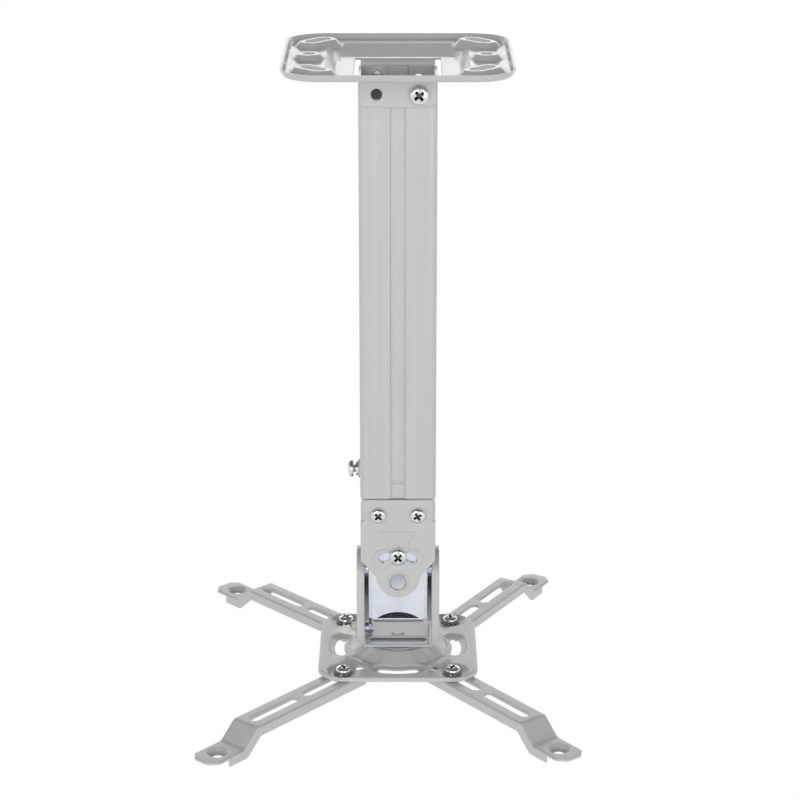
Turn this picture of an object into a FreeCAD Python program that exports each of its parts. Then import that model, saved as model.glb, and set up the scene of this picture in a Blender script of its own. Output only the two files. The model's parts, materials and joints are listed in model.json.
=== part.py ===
import FreeCAD, Part
import Sketcher
import math
import os

# Ceiling mount for a projector: a pressed ceiling plate with a square telescopic pole,
# a two-axis head, a turning base plate and four adjustable arms.
# Frame: origin at the middle of the face that meets the ceiling, Z up, front towards -Y.

V = FreeCAD.Vector
doc = FreeCAD.newDocument("ProjectorCeilingMount")
sheet = doc.addObject("Spreadsheet::Sheet", "Sizes")

SIZES = {
    # ceiling plate
    "ceiling_width": 131.0,
    "ceiling_depth": 131.0,
    "ceiling_corner": 22.0,
    "ceiling_sheet": 1.3,
    "ceiling_field_drop": 3.0,
    "ceiling_rim_lean": 0.5,
    "ceiling_rim_round": 2.0,
    "bowl_drop": 4.5,
    "bowl_half_width": 41.0,
    "bowl_half_depth": 52.0,
    "bowl_floor_margin": 2.2,
    "bowl_floor_side_margin": 10.5,
    "bowl_corner": 12.0,
    "pad_top_drop": 0.0,
    "pad_margin": 3.6,
    "ceiling_slot_along": 47.0,
    "ceiling_slot_across": 43.0,
    "ceiling_slot_width": 6.2,
    "ceiling_slot_length": 18.0,
    "ceiling_hole_along": 50.5,
    "ceiling_hole": 6.5,
    "opening_side_gap": 2.1,
    "flap_width": 43.4,
    "flap_length": 15.7,
    "flap_bend": 2.0,
    "flap_corner": 2.5,
    # telescopic pole
    "pole_width": 45.0,
    "pole_wall": 1.5,
    "pole_corner": 4.0,
    "pole_top_drop": 11.0,
    "pole_length": 250.9,
    "groove_width": 8.7,
    "groove_depth": 1.1,
    "pole_gap": 0.3,
    "pole_hole_spacing": 24.0,
    "pole_hole_drop": 19.0,
    "pole_hole": 6.4,
    "inner_wall": 1.5,
    "inner_top_drop": 30.0,
    "inner_below_pole": 18.0,
    "lock_height": 11.0,
    "lock_boss": 11.4,
    "lock_boss_height": 1.3,
    "stop_mark_width": 6.2,
    "stop_mark_height": 1.6,
    "stop_mark_depth": 0.4,
    "stop_mark_rise": 9.0,
    # head bracket
    "bracket_gap": 1.0,
    "bracket_sheet": 1.5,
    "bracket_fit": 0.1,
    "bracket_sleeve": 13.5,
    "bracket_shoulder": 38.9,
    "bracket_corner": 4.0,
    "lobe_radius": 12.8,
    "lobe_rise": 3.2,
    "bracket_screw_drop": 9.5,
    "bracket_screw_spacing": 23.4,
    "pivot_drop": 52.7,
    "pivot_disc": 9.9,
    "pivot_fit": 0.1,
    "pivot_recess": 0.4,
    "roll_slot_radius": 17.4,
    "roll_slot_half_angle": 30.8,
    "lock_slot_width": 5.5,
    "bead_width": 1.3,
    "bead_height": 0.35,
    "emboss_band": 8.8,
    "emboss_lobe": 6.0,
    "funnel_top_half": 10.6,
    "funnel_neck_half": 6.3,
    "funnel_rise": 32.4,
    "funnel_neck_rise": 26.7,
    # gimbal link
    "link_width": 36.0,
    "link_sheet": 2.0,
    "link_gap": 0.3,
    "link_top_rise": 22.0,
    "link_bottom_fall": 24.3,
    "link_arch_half": 12.9,
    "link_arch_rise": 4.1,
    "tilt_lock_fall": 39.3,
    "link_lobe": 3.6,
    "link_corner": 3.0,
    "link_floor": 1.5,
    "tilt_thread": 4.0,
    "tilt_collar": 6.4,
    "tilt_stud_head": 6.6,
    "tilt_stud_head_height": 1.0,
    "flange_clearance": 0.3,
    "tilt_pin": 6.0,
    "tilt_pin_head": 10.0,
    "tilt_pin_head_height": 1.6,
    # yoke
    "yoke_gap": 2.2,
    "yoke_sheet": 1.5,
    "yoke_half_depth": 17.5,
    "yoke_flange": 4.8,
    "yoke_arc_fall": 3.9,
    "yoke_lip_gap": 0.3,
    "yoke_floor_fall": 43.3,
    "yoke_bend": 2.6,
    "yoke_flange_start": 3.0,
    "tilt_slot_half_angle": 15.4,
    "floor_slot_length": 34.7,
    "floor_slot_width": 8.0,
    "floor_slot_offset": 8.3,
    "swivel_pin": 6.0,
    "swivel_head": 8.0,
    "swivel_head_height": 0.9,
    "swivel_disc": 38.0,
    "swivel_disc_sheet": 1.0,
    "running_gap": 0.1,
    # turning base plate
    "base_width": 97.0,
    "base_depth": 97.0,
    "base_corner": 17.0,
    "base_sheet": 1.5,
    "base_rim": 3.1,
    "base_rim_lean": 0.2,
    "dome_height": 4.7,
    "dome_top_radius": 21.0,
    "dome_base_radius": 29.0,
    "recess_depth": 2.0,
    "recess_radius": 7.6,
    "recess_slope": 2.6,
    "arm_screw_side": 15.7,
    "arm_screw_end": 10.7,
    "base_slot_radius": 36.0,
    "base_slot_length": 25.0,
    "base_slot_width": 5.6,
    "base_slot_recess": 1.6,
    "base_slot_margin": 2.4,
    "base_hole_along": 22.8,
    "base_hole_across": 31.0,
    "base_hole": 5.2,
    # arms
    "arm_width": 20.0,
    "arm_sheet": 1.5,
    "arm_height": 6.0,
    "arm_tail": 9.0,
    "arm_slot_width": 6.0,
    "arm_inner_slot": 38.7,
    "arm_bridge": 6.8,
    "arm_outer_slot": 37.9,
    "arm_flat": 4.8,
    "arm_step_length": 11.0,
    "arm_step_drop": 9.9,
    "arm_foot_hole_reach": 28.1,
    "arm_tip_reach": 13.5,
    "arm_tip_chamfer": 5.0,
    "arm_bend": 4.0,
    "arm_edge": 1.2,
    "foot_hole": 6.0,
    "foot_dish": 12.6,
    "foot_dish_depth": 2.6,
    "foot_dish_floor": 1.1,
    "front_left_turn": -130.5,
    "front_left_draw": 0.5,
    "front_right_turn": -52.5,
    "front_right_draw": 10.8,
    "rear_left_turn": 133.0,
    "rear_left_draw": 0.5,
    "rear_right_turn": 59.5,
    "rear_right_draw": 0.5,
    # fasteners
    "small_thread": 5.0,
    "thread_fit": 0.05,
    "large_thread": 6.0,
    "small_head": 9.2,
    "small_head_height": 3.3,
    "large_head": 11.4,
    "large_head_height": 3.9,
    "arm_screw_head": 9.6,
    "small_washer": 12.0,
    "small_washer_height": 1.1,
    "small_nut_across": 8.0,
    "small_nut_height": 4.0,
    "large_nut_across": 10.0,
    "large_nut_height": 5.0,
    "nut_flange": 11.8,
    "nut_flange_height": 1.2,
    "lock_head": 10.4,
    "lock_head_height": 3.3,
    "lock_loose": 1.5,
    "spring_washer": 8.6,
    "spring_washer_height": 1.4,
    "lever_hub": 6.4,
    "lever_hub_height": 3.0,
    "lever_sheet": 1.8,
    "lever_reach": 11.4,
    "lever_front": 11.3,
    "lever_rear": 2.4,
}


class Size:
    def __init__(self, value, text):
        self.value = float(value)
        self.text = text

    def __add__(self, other):
        other = as_size(other)
        return Size(self.value + other.value, "(%s + %s)" % (self.text, other.text))

    def __radd__(self, other):
        return as_size(other) + self

    def __sub__(self, other):
        other = as_size(other)
        return Size(self.value - other.value, "(%s - %s)" % (self.text, other.text))

    def __rsub__(self, other):
        return as_size(other) - self

    def __mul__(self, other):
        other = as_size(other)
        return Size(self.value * other.value, "(%s * %s)" % (self.text, other.text))

    def __rmul__(self, other):
        return as_size(other) * self

    def __truediv__(self, other):
        other = as_size(other)
        return Size(self.value / other.value, "(%s / %s)" % (self.text, other.text))

    def __neg__(self):
        return Size(-self.value, "(-1 * %s)" % self.text)


def as_size(number):
    if isinstance(number, Size):
        return number
    return Size(number, "(%.6f)" % number)


def sine(angle):
    return Size(math.sin(math.radians(angle.value)), "sin(%s)" % angle.text)


def cosine(angle):
    return Size(math.cos(math.radians(angle.value)), "cos(%s)" % angle.text)


def root(size):
    return Size(math.sqrt(size.value), "sqrt(%s)" % size.text)


class Sizes:
    pass


S = Sizes()
for row, (alias, number) in enumerate(SIZES.items(), start=1):
    sheet.set("A%d" % row, alias)
    sheet.set("B%d" % row, str(number))
    sheet.setAlias("B%d" % row, alias)
    setattr(S, alias, Size(number, "Sizes." + alias))
doc.recompute()

parts = []


# sketch and body helpers

class Drawing:
    def __init__(self, body, plane, name, away=0.0):
        self.body = body
        self.sketch = body.newObject("Sketcher::SketchObject", name)
        support = [f for f in body.Origin.OriginFeatures if f.Role == plane][0]
        self.sketch.AttachmentSupport = [(support, "")]
        self.sketch.MapMode = "FlatFace"
        away = as_size(away)
        if away.value:
            self.sketch.setExpression("AttachmentOffset.Base.z", away.text)

    def rule(self, kind, *where):
        return self.sketch.addConstraint(Sketcher.Constraint(kind, *where))

    def measure(self, kind, *where):
        size = where[-1]
        index = self.rule(kind, *where[:-1], size.value)
        self.sketch.setExpression("Constraints[%d]" % index, size.text)

    def pin(self, item, end, x, y):
        x, y = as_size(x), as_size(y)
        if abs(x.value) < 1e-9:
            self.rule("PointOnObject", item, end, -2)
        else:
            self.measure("DistanceX", -1, 1, item, end, x)
        if abs(y.value) < 1e-9:
            self.rule("PointOnObject", item, end, -1)
        else:
            self.measure("DistanceY", -1, 1, item, end, y)

    def line(self, x1, y1, x2, y2):
        return self.sketch.addGeometry(Part.LineSegment(V(x1, y1, 0), V(x2, y2, 0)), False)

    def arc(self, x, y, radius, start, end):
        circle = Part.Circle(V(x, y, 0), V(0, 0, 1), radius)
        return self.sketch.addGeometry(Part.ArcOfCircle(circle, start, end), False)

    def circle(self, x, y, radius):
        x, y = as_size(x), as_size(y)
        circle = Part.Circle(V(x.value, y.value, 0), V(0, 0, 1), radius.value)
        item = self.sketch.addGeometry(circle, False)
        self.pin(item, 3, x, y)
        self.measure("Radius", item, radius)

    def outline(self, points):
        # Each point is (x, y), or (x, y, centre x, centre y, radius, turn) where an arc
        # leads on to the next point; turn is 1 for counter-clockwise and -1 for clockwise.
        nodes = [(as_size(p[0]), as_size(p[1])) for p in points]
        runs = []
        for i, p in enumerate(points):
            (ax, ay), (bx, by) = nodes[i], nodes[(i + 1) % len(points)]
            if len(p) == 2:
                item = self.line(ax.value, ay.value, bx.value, by.value)
                runs.append((item, 1, 2))
                continue
            cx, cy, radius, turn = as_size(p[2]), as_size(p[3]), as_size(p[4]), p[5]
            first = math.atan2(ay.value - cy.value, ax.value - cx.value)
            last = math.atan2(by.value - cy.value, bx.value - cx.value)
            if turn < 0:
                first, last = last, first
            if last <= first:
                last += 2 * math.pi
            item = self.arc(cx.value, cy.value, radius.value, first, last)
            # the ends are pinned, so the centre's place across the chord settles the arc
            if abs(bx.value - ax.value) > abs(by.value - ay.value):
                self.measure("DistanceY", -1, 1, item, 3, cy)
            else:
                self.measure("DistanceX", -1, 1, item, 3, cx)
            runs.append((item, 1, 2) if turn > 0 else (item, 2, 1))
        for i, run in enumerate(runs):
            following = runs[(i + 1) % len(runs)]
            self.rule("Coincident", run[0], run[2], following[0], following[1])
            self.pin(run[0], run[1], *nodes[i])

    def rectangle(self, x1, y1, x2, y2):
        self.outline([(x1, y1), (x2, y1), (x2, y2), (x1, y2)])

    def slot(self, x1, x2, y, radius):
        # straight slot along the first sketch axis, x1 and x2 being its end centres
        x1, x2, y = as_size(x1), as_size(x2), as_size(y)
        r = radius.value
        a = self.arc(x1.value, y.value, r, math.pi / 2, 3 * math.pi / 2)
        b = self.arc(x2.value, y.value, r, -math.pi / 2, math.pi / 2)
        top = self.line(x1.value, y.value + r, x2.value, y.value + r)
        low = self.line(x1.value, y.value - r, x2.value, y.value - r)
        self.rule("Tangent", a, 1, top, 1)
        self.rule("Tangent", b, 2, top, 2)
        self.rule("Tangent", a, 2, low, 1)
        self.rule("Tangent", b, 1, low, 2)
        self.rule("Equal", a, b)
        self.measure("Radius", a, radius)
        self.pin(a, 3, x1, y)
        self.pin(b, 3, x2, y)

    def arc_slot(self, y, bend, half_angle, half_width, above=True):
        # slot bent about a point on the second sketch axis, centred above or below it
        y = as_size(y)
        middle = math.pi / 2 if above else -math.pi / 2
        half = math.radians(half_angle.value)
        R, w = bend.value, half_width.value

        def at(angle):
            return R * math.cos(angle), y.value + R * math.sin(angle)

        outer = self.arc(0, y.value, R + w, middle - half, middle + half)
        inner = self.arc(0, y.value, R - w, middle - half, middle + half)
        x1, y1 = at(middle - half)
        x2, y2 = at(middle + half)
        first = self.arc(x1, y1, w, middle - half + math.pi, middle - half + 2 * math.pi)
        last = self.arc(x2, y2, w, middle + half, middle + half + math.pi)
        self.rule("Tangent", first, 2, outer, 1)
        self.rule("Tangent", first, 1, inner, 1)
        self.rule("Tangent", last, 1, outer, 2)
        self.rule("Tangent", last, 2, inner, 2)
        self.rule("Coincident", outer, 3, inner, 3)
        self.pin(outer, 3, 0.0, y)
        self.measure("Radius", outer, bend + half_width)
        self.measure("Radius", inner, bend - half_width)
        sign = 1 if above else -1
        self.measure("DistanceX", -1, 1, first, 3, sign * bend * sine(half_angle))
        self.measure("DistanceX", -1, 1, last, 3, -sign * bend * sine(half_angle))


def new_body(label):
    body = doc.addObject("PartDesign::Body", label)
    body.Label = label
    parts.append(body)
    return body


def drawing(body, plane, away=0.0):
    return Drawing(body, plane, "%s_sketch_%d" % (body.Label, len(body.Group) + 1), away)


def pad(art, length, symmetric=False, backwards=False):
    body = art.body
    feature = body.newObject("PartDesign::Pad", "%s_pad_%d" % (body.Label, len(body.Group)))
    feature.Profile = art.sketch
    length = as_size(length)
    feature.setExpression("Length", length.text)
    if symmetric:
        feature.SideType = "Symmetric"
    feature.Reversed = backwards
    doc.recompute()
    return feature


def pocket(art, length, symmetric=False, backwards=False):
    body = art.body
    before = body.Shape.Volume
    feature = body.newObject("PartDesign::Pocket", "%s_cut_%d" % (body.Label, len(body.Group)))
    feature.Profile = art.sketch
    length = as_size(length)
    feature.setExpression("Length", length.text)
    if symmetric:
        feature.SideType = "Symmetric"
    feature.Reversed = backwards
    doc.recompute()
    if not body.Shape.Volume < before - 1e-6:
        raise RuntimeError("a cut in %s removes nothing" % body.Label)
    return feature


def revolve(art):
    body = art.body
    feature = body.newObject("PartDesign::Revolution", body.Label + "_turned")
    feature.Profile = art.sketch
    feature.ReferenceAxis = (art.sketch, ["V_Axis"])
    feature.Angle = 360
    doc.recompute()
    return feature


def round_edges(body, radius, test):
    shape = body.Tip.Shape
    chosen = ["Edge%d" % (i + 1) for i, edge in enumerate(shape.Edges) if test(edge)]
    feature = body.newObject("PartDesign::Fillet", "%s_round_%d" % (body.Label, len(body.Group)))
    feature.Base = (body.Group[-2], chosen)
    feature.setExpression("Radius", as_size(radius).text)
    doc.recompute()
    return feature


def runs_along(edge, axis):
    if edge.Curve.TypeId != "Part::GeomLine":
        return False
    a, b = edge.Vertexes[0].Point, edge.Vertexes[-1].Point
    direction = (b - a).normalize()
    return abs(abs(direction.dot(axis)) - 1) < 1e-6


def middle_of(edge):
    return edge.BoundBox.Center


def place(body, x, y, z, axis=V(0, 0, 1), angle=0.0):
    angle = as_size(angle)
    spot = [as_size(x), as_size(y), as_size(z)]
    body.Placement = FreeCAD.Placement(V(0, 0, 0), FreeCAD.Rotation(axis, angle.value))
    if "Sizes." in angle.text:
        body.setExpression("Placement.Rotation.Angle", angle.text)
    for letter, size in zip("xyz", spot):
        body.setExpression("Placement.Base." + letter, size.text)
    doc.recompute()


FRONT = (V(1, 0, 0), 90.0)
REAR = (V(1, 0, 0), -90.0)
LEFT = (V(0, 1, 0), -90.0)
RIGHT = (V(0, 1, 0), 90.0)
UP = (V(0, 0, 1), 0.0)
DOWN = (V(1, 0, 0), 180.0)


def screw(label, head, head_height, thread, length, spot, facing):
    # pan head over a plain shank, the head's seat at the local origin
    body = new_body(label)
    art = drawing(body, "XZ_Plane")
    r = head / 2
    art.outline([
        (0.0, head_height),
        (r * 0.5, head_height),
        (r * 0.82, head_height * 0.8),
        (r, head_height * 0.42),
        (r, 0.0),
        (thread / 2, 0.0),
        (thread / 2, -length),
        (0.0, -length),
    ])
    revolve(art)
    place(body, *spot, *facing)
    return body


def washer(label, outer, inner, height, spot, facing):
    body = new_body(label)
    art = drawing(body, "XZ_Plane")
    art.rectangle(inner / 2, 0.0, outer / 2, height)
    revolve(art)
    place(body, *spot, *facing)
    return body


def nut(label, across, height, thread, spot, facing, flange=None):
    body = new_body(label)
    art = drawing(body, "XY_Plane")
    corner = across / math.sqrt(3.0)
    points = []
    for i in range(6):
        turn = math.radians(60 * i + 30)
        points.append((corner * math.cos(turn), corner * math.sin(turn)))
    art.outline(points)
    pad(art, height)
    if flange is not None:
        rim = drawing(body, "XY_Plane")
        rim.circle(0.0, 0.0, flange / 2)
        pad(rim, S.nut_flange_height)
    bore = drawing(body, "XY_Plane")
    bore.circle(0.0, 0.0, thread / 2)
    pocket(bore, height, backwards=True)
    place(body, *spot, *facing)
    return body


# pressed-sheet helpers

def rounded_rectangle(half_x, half_y, corner, z):
    r = corner
    x, y = half_x, half_y
    edges = []
    corners = [(x - r, y - r, 0), (-x + r, y - r, 90), (-x + r, -y + r, 180), (x - r, -y + r, 270)]
    ends = []
    for cx, cy, start in corners:
        a, b = math.radians(start), math.radians(start + 90)
        p = V(cx + r * math.cos(a), cy + r * math.sin(a), z)
        q = V(cx + r * math.cos((a + b) / 2), cy + r * math.sin((a + b) / 2), z)
        s = V(cx + r * math.cos(b), cy + r * math.sin(b), z)
        ends.append((p, s, Part.Arc(p, q, s).toShape()))
    for i in range(4):
        edges.append(ends[i][2])
        edges.append(Part.LineSegment(ends[i][1], ends[(i + 1) % 4][0]).toShape())
    return Part.Wire(edges)


def round_wire(x, y, radius, z):
    return Part.Wire([Part.makeCircle(radius, V(x, y, z))])


def arc_slot_wire(bend, middle, half_angle, half_width, z):
    # slot bent about the Z axis; middle and half_angle in degrees
    def at(radius, angle):
        a = math.radians(angle)
        return V(radius * math.cos(a), radius * math.sin(a), z)

    a0, a1 = middle - half_angle, middle + half_angle
    cap = math.degrees(half_width / bend)
    outer = Part.Arc(at(bend + half_width, a0), at(bend + half_width, middle), at(bend + half_width, a1))
    inner = Part.Arc(at(bend - half_width, a1), at(bend - half_width, middle), at(bend - half_width, a0))
    end = Part.Arc(at(bend + half_width, a1), at(bend, a1 + cap), at(bend - half_width, a1))
    start = Part.Arc(at(bend - half_width, a0), at(bend, a0 - cap), at(bend + half_width, a0))
    return Part.Wire([curve.toShape() for curve in (outer, end, inner, start)])


def between(lower, upper):
    return Part.makeLoft([lower, upper], True, True)


def upright(wire, height):
    return Part.Face(wire).extrude(V(0, 0, height))


def pressed_part(label, shape):
    feature = doc.addObject("Part::Feature", label)
    feature.Label = label
    feature.Shape = shape
    parts.append(feature)
    return feature


# levels along the pole

half_pole = S.pole_width / 2
pole_bottom = -(S.pole_top_drop + S.pole_length)
bracket_top = pole_bottom - S.bracket_gap
pivot_z = bracket_top - S.pivot_drop
tilt_lock_z = pivot_z - S.tilt_lock_fall
floor_top = pivot_z - S.yoke_floor_fall
floor_low = floor_top - S.yoke_sheet
disc_top = floor_low - S.running_gap
dome_top = disc_top - S.swivel_disc_sheet - S.running_gap
base_top = dome_top - S.dome_height
recess_floor = base_top - S.recess_depth
arm_top = recess_floor - S.base_sheet
arc_z = pivot_z - S.yoke_arc_fall
arm_screw_x = S.base_width / 2 - S.arm_screw_side
arm_screw_y = S.base_depth / 2 - S.arm_screw_end

inner_half = half_pole - S.pole_wall - S.pole_gap
bracket_inner = inner_half + S.bracket_fit
bracket_half = bracket_inner + S.bracket_sheet
link_face = bracket_inner - S.link_gap
link_half = S.link_width / 2
ear_inner = link_half + S.yoke_gap
ear_outer = ear_inner + S.yoke_sheet
flap_inner = half_pole + S.pole_gap
flap_outer = flap_inner + S.ceiling_sheet


# ceiling plate

def ceiling_plate():
    t = S.ceiling_sheet.value
    lean = S.ceiling_rim_lean.value
    half_x, half_y = S.ceiling_width.value / 2, S.ceiling_depth.value / 2
    corner = S.ceiling_corner.value
    field = -S.ceiling_field_drop.value
    bowl = field - S.bowl_drop.value
    thick = t * math.sqrt(1 + lean * lean)

    def tray(z, inset):
        d = inset - z * lean
        return rounded_rectangle(half_x - d, half_y - d, corner - d, z)

    def rounded_below(solid, level, radius):
        low = [e for e in solid.Edges
               if abs(e.BoundBox.ZMin - level) < 1e-4 and abs(e.BoundBox.ZMax - level) < 1e-4]
        return solid.makeFillet(radius, low)

    turn = S.ceiling_rim_round.value
    outer = rounded_below(between(tray(field - t, 0), tray(0, 0)), field - t, turn)
    inner = rounded_below(between(tray(field, thick), tray(0.0, thick)), field, turn - t)

    floor_x = half_pole.value + S.opening_side_gap.value + S.bowl_floor_side_margin.value
    bend_y = flap_outer.value + S.flap_bend.value
    floor_y = bend_y + S.bowl_floor_margin.value
    bowl_r = S.bowl_corner.value
    wide_x, wide_y = S.bowl_half_width.value, S.bowl_half_depth.value
    grow = t * 0.25

    def bowl_form(shift, more):
        return between(
            rounded_rectangle(floor_x + more, floor_y + more, bowl_r * 0.6 + more, bowl + shift),
            rounded_rectangle(wide_x + more, wide_y + more, bowl_r + more, field + shift))

    outer = outer.fuse(bowl_form(-t, grow))
    inner = inner.fuse(bowl_form(0.0, 0.0))

    slot_half = S.ceiling_slot_width.value / 2
    along, across = S.ceiling_slot_along.value, S.ceiling_slot_across.value
    bend = math.hypot(along, across)
    middle = math.degrees(math.atan2(across, along))
    sweep = math.degrees((S.ceiling_slot_length.value / 2 - slot_half) / bend)
    pad_half = slot_half + S.pad_margin.value
    pad_z = -S.pad_top_drop.value
    deep = pad_z - bowl
    inset = t * math.tan(math.radians(22.5))
    middles = [middle, 180 - middle, 180 + middle, -middle]

    def slot_pad(angle, shift, less):
        return between(arc_slot_wire(bend, angle, sweep, pad_half + deep - less, bowl + shift),
                       arc_slot_wire(bend, angle, sweep, pad_half - less, pad_z + shift))

    hole_half = S.ceiling_hole.value / 2
    hole_x = S.ceiling_hole_along.value

    def hole_pad(x, shift, less):
        return between(round_wire(x, 0, hole_half + S.pad_margin.value + deep - less, bowl + shift),
                       round_wire(x, 0, hole_half + S.pad_margin.value - less, pad_z + shift))

    below = bowl - 3 * t
    through = t - below
    pads, hollows, cuts = [], [], []
    for angle in middles:
        pads.append(slot_pad(angle, 0.0, 0.0))
        hollows.append(slot_pad(angle, -t, inset))
        cuts.append(upright(arc_slot_wire(bend, angle, sweep, slot_half, below), through))
    for x in (-hole_x, hole_x):
        pads.append(hole_pad(x, 0.0, 0.0))
        hollows.append(hole_pad(x, -t, inset))
        cuts.append(upright(round_wire(x, 0, hole_half, below), through))
    sheet_form = outer
    for hollow in hollows:
        sheet_form = sheet_form.cut(hollow)
    space = inner
    for form in pads:
        space = space.cut(form)
    plate = sheet_form.cut(space)
    for tool in cuts:
        plate = plate.cut(tool)

    # square opening for the pole, with the front and rear flaps bent down beside it
    open_x = half_pole.value + S.opening_side_gap.value
    opening = Part.makeBox(2 * open_x, 2 * bend_y, through, V(-open_x, -bend_y, below))
    plate = plate.cut(opening)
    flap_half = S.flap_width.value / 2
    inner_y, outer_y = flap_inner.value, flap_outer.value
    bend_r = S.flap_bend.value
    turn_z = bowl - t - bend_r
    flap_low = turn_z - S.flap_length.value
    k = math.sqrt(0.5)
    for side in (-1, 1):
        wide = bend_r + t
        p = [V(0, side * bend_y, bowl), V(0, side * inner_y, turn_z), V(0, side * inner_y, flap_low),
             V(0, side * outer_y, flap_low), V(0, side * outer_y, turn_z), V(0, side * bend_y, bowl - t)]
        bend_out = V(0, side * (bend_y - wide * k), turn_z + wide * k)
        bend_in = V(0, side * (bend_y - bend_r * k), turn_z + bend_r * k)
        profile = Part.Wire([
            Part.Arc(p[0], bend_out, p[1]).toShape(),
            Part.LineSegment(p[1], p[2]).toShape(),
            Part.LineSegment(p[2], p[3]).toShape(),
            Part.LineSegment(p[3], p[4]).toShape(),
            Part.Arc(p[4], bend_in, p[5]).toShape(),
            Part.LineSegment(p[5], p[0]).toShape(),
        ])
        flap = Part.Face(profile).extrude(V(2 * flap_half, 0, 0))
        flap.translate(V(-flap_half, 0, 0))
        c = S.flap_corner.value
        front = Part.makePolygon([
            V(-flap_half, 0, bowl + 1), V(flap_half, 0, bowl + 1), V(flap_half, 0, flap_low + c),
            V(flap_half - c, 0, flap_low), V(-flap_half + c, 0, flap_low),
            V(-flap_half, 0, flap_low + c), V(-flap_half, 0, bowl + 1)])
        outline = Part.Face(front).extrude(V(0, side * (bend_y + 1), 0))
        flap = flap.common(outline)
        for x in (-1, 1):
            bore = Part.makeCylinder(S.pole_hole.value / 2, 4 * t,
                                     V(x * S.pole_hole_spacing.value / 2, side * (inner_y - t), -S.pole_hole_drop.value),
                                     V(0, side, 0))
            flap = flap.cut(bore)
        plate = plate.fuse(flap)
    return plate.removeSplitter()


pressed_part("ceiling_plate", ceiling_plate())


# pole tubes

def grooved_loop(art, half, rib_half, depth):
    # square section with a shallow channel down the front and the rear face
    art.outline([
        (-half, -half), (-rib_half, -half), (-rib_half, -half + depth), (rib_half, -half + depth),
        (rib_half, -half), (half, -half), (half, half), (rib_half, half), (rib_half, half - depth),
        (-rib_half, half - depth), (-rib_half, half), (-half, half)])


def upright_corner(half):
    def test(edge):
        middle = middle_of(edge)
        return (runs_along(edge, V(0, 0, 1)) and abs(abs(middle.x) - half.value) < 1e-4
                and abs(abs(middle.y) - half.value) < 1e-4)
    return test


tube = new_body("outer_tube")
art = drawing(tube, "XY_Plane", pole_bottom)
grooved_loop(art, half_pole, S.groove_width / 2, S.groove_depth)
pad(art, S.pole_length)
round_edges(tube, S.pole_corner, upright_corner(half_pole))
bore = drawing(tube, "XY_Plane", pole_bottom)
tube_inner = half_pole - S.pole_wall
rib_half = S.groove_width / 2 + S.pole_wall
grooved_loop(bore, tube_inner, rib_half, S.groove_depth)
pocket(bore, S.pole_length, backwards=True)
round_edges(tube, S.pole_corner - S.pole_wall, upright_corner(tube_inner))
boss = drawing(tube, "YZ_Plane", -half_pole)
boss.circle(0.0, pole_bottom + S.lock_height, S.lock_boss / 2)
pad(boss, S.lock_boss_height, backwards=True)
tap = drawing(tube, "YZ_Plane", -(half_pole + S.lock_boss_height))
tap.circle(0.0, pole_bottom + S.lock_height, S.small_thread / 2 + 0.1)
pocket(tap, S.lock_boss_height + S.pole_wall * 2, backwards=True)
holes = drawing(tube, "XZ_Plane")
holes.circle(-S.pole_hole_spacing / 2, -S.pole_hole_drop, S.pole_hole / 2)
holes.circle(S.pole_hole_spacing / 2, -S.pole_hole_drop, S.pole_hole / 2)
pocket(holes, S.pole_width * 2, symmetric=True)
mark = drawing(tube, "XZ_Plane", half_pole - S.groove_depth)
mark_z = pole_bottom + S.stop_mark_rise
mark.rectangle(-S.stop_mark_width / 2, mark_z, S.stop_mark_width / 2, mark_z + S.stop_mark_height)
pocket(mark, S.stop_mark_depth)

inner_tube = new_body("inner_tube")
inner_low = pole_bottom - S.inner_below_pole
inner_length = -S.inner_top_drop - inner_low
channel_half = rib_half + S.pole_gap
art = drawing(inner_tube, "XY_Plane", inner_low)
grooved_loop(art, inner_half, channel_half, S.groove_depth)
pad(art, inner_length)
round_edges(inner_tube, S.pole_corner - S.pole_wall - S.pole_gap, upright_corner(inner_half))
bore = drawing(inner_tube, "XY_Plane", inner_low)
grooved_loop(bore, inner_half - S.inner_wall, channel_half + S.inner_wall, S.groove_depth)
pocket(bore, inner_length, backwards=True)
bracket_screw_z = bracket_top - S.bracket_screw_drop
holes = drawing(inner_tube, "XZ_Plane")
holes.circle(-S.bracket_screw_spacing / 2, bracket_screw_z, S.small_thread / 2 + 0.1)
holes.circle(S.bracket_screw_spacing / 2, bracket_screw_z, S.small_thread / 2 + 0.1)
pocket(holes, S.pole_width * 2, symmetric=True)

hole_x = S.pole_hole_spacing / 2
pole_screw_length = S.ceiling_sheet + S.pole_gap + S.pole_wall + S.large_nut_height + 1.0
screw("pole_screw_front", S.large_head, S.large_head_height, S.large_thread, pole_screw_length,
      (hole_x, -flap_outer, -S.pole_hole_drop), FRONT)
screw("pole_screw_rear", S.large_head, S.large_head_height, S.large_thread, pole_screw_length,
      (-hole_x, flap_outer, -S.pole_hole_drop), REAR)
nut("pole_nut_front", S.large_nut_across, S.large_nut_height, S.large_thread,
    (hole_x, -tube_inner, -S.pole_hole_drop), REAR)
nut("pole_nut_rear", S.large_nut_across, S.large_nut_height, S.large_thread,
    (-hole_x, tube_inner, -S.pole_hole_drop), FRONT)

lock_z = pole_bottom + S.lock_height
boss_face = half_pole + S.lock_boss_height
lock_seat = boss_face + S.spring_washer_height + S.lock_loose
lock_reach = lock_seat - inner_half - S.lock_loose
screw("height_lock_screw", S.lock_head, S.lock_head_height, S.small_thread, lock_reach,
      (-lock_seat, 0.0, lock_z), LEFT)
washer("height_lock_washer", S.spring_washer, S.small_thread + 0.2, S.spring_washer_height,
       (-boss_face, 0.0, lock_z), LEFT)


# head bracket

def lobe_points(centre_z, top_z, shoulder_z):
    return [
        (-bracket_half, top_z), (bracket_half, top_z), (bracket_half, shoulder_z),
        (S.lobe_radius, centre_z, 0.0, centre_z, S.lobe_radius, -1),
        (-S.lobe_radius, centre_z), (-bracket_half, shoulder_z)]


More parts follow.
